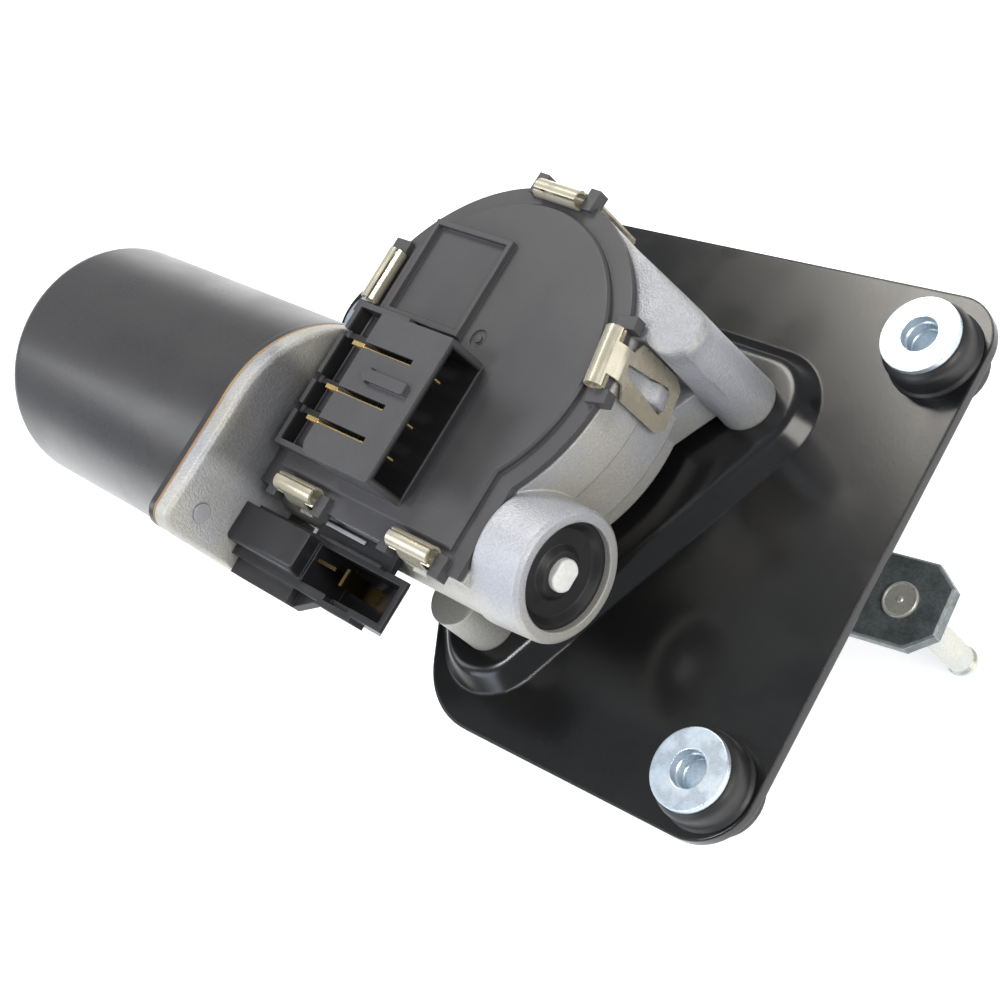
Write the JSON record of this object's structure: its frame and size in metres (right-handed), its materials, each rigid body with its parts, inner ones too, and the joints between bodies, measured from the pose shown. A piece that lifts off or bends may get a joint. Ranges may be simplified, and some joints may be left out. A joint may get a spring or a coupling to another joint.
{
  "type": "wiper motor",
  "caption": "Windscreen wiper motor: round can, worm gearbox with clipped plastic cover and plug sockets, crank arm with pin, on a plate with rubber-bushed mounting sleeves.",
  "frame": {"origin": "output shaft axis at the mounting plane, which is the plane of the lower ends of the bush sleeves", "axes": "+X along the motor's axis from the can to the worm's thrust plug, +Z along the output shaft from the crank arm up to the gear cover, +Y completes a right-handed frame"},
  "size_m": [0.2301, 0.127, 0.1093],
  "materials": {
    "casting": "fine sand-blasted casting, satin",
    "can_paint": "dark satin paint",
    "gasket_paper": "brown gasket edge",
    "screw_steel": "zinc plated",
    "magnet_ferrite": "dull ferrite",
    "sintered_bronze": "sintered bronze",
    "rubber": "matte moulded rubber",
    "white_nylon": "satin nylon",
    "cover_plastic": "satin charcoal moulding",
    "connector_plastic": "satin black moulding",
    "clip_steel": "nickel plated spring steel",
    "brass": "bright brass",
    "plate_paint": "glossy black coat",
    "sleeve_zinc": "bluish zinc",
    "arm_zinc": "bright zinc",
    "pin_zinc": "slightly yellow zinc",
    "brush_plastic": "moulded phenolic",
    "carbon": "carbon graphite",
    "shaft_steel": "ground steel",
    "stack_steel": "laminated steel",
    "winding_copper": "copper"
  },
  "bodies": {
    "motor": {"motor_can": "can_paint", "can_gasket": "gasket_paper", "can_screws": "screw_steel", "magnets": "magnet_ferrite", "rear_bearing": "sintered_bronze", "front_bearing": "sintered_bronze", "nose_bearing": "sintered_bronze", "gear_housing": "casting", "output_bushes": "sintered_bronze", "shaft_seal": "rubber", "end_cap": "rubber", "thrust_plug": "white_nylon", "gear_cover": "cover_plastic", "cover_seal": "rubber", "cover_clips": "clip_steel", "socket_terminals": "brass", "feed_connector": "connector_plastic", "feed_terminals": "brass", "mounting_plate": "plate_paint", "plate_screws": "screw_steel", "bush_rubbers": "rubber", "bush_sleeves": "sleeve_zinc", "park_contacts": "brass", "brush_holder": "brush_plastic", "carbon_brushes": "carbon", "brush_springs": "clip_steel"},
    "output": {"output_shaft": "shaft_steel", "shaft_clip": "clip_steel", "thrust_washer": "shaft_steel", "wheel_hub": "shaft_steel", "worm_wheel": "white_nylon", "park_disc": "brass", "crank_arm": "arm_zinc", "crank_nut": "arm_zinc", "crank_pin": "pin_zinc"},
    "armature": {"armature_shaft": "shaft_steel", "thrust_ball": "shaft_steel", "armature_stack": "stack_steel", "armature_windings": "winding_copper", "commutator": "winding_copper"}
  },
  "joints": [
    {"name": "output_spin", "type": "hinge", "parent": "motor", "child": "output", "pos_m": [0, 0, 0], "axis": [0, 0, 1], "continuous": true},
    {"name": "armature_spin", "type": "hinge", "parent": "motor", "child": "armature", "pos_m": [0, -0.0335, 0.036], "axis": [1, 0, 0], "continuous": true}
  ],
  "couplings": [
    {"joint": "armature_spin", "follows": "output_spin", "ratio": -46}
  ]
}
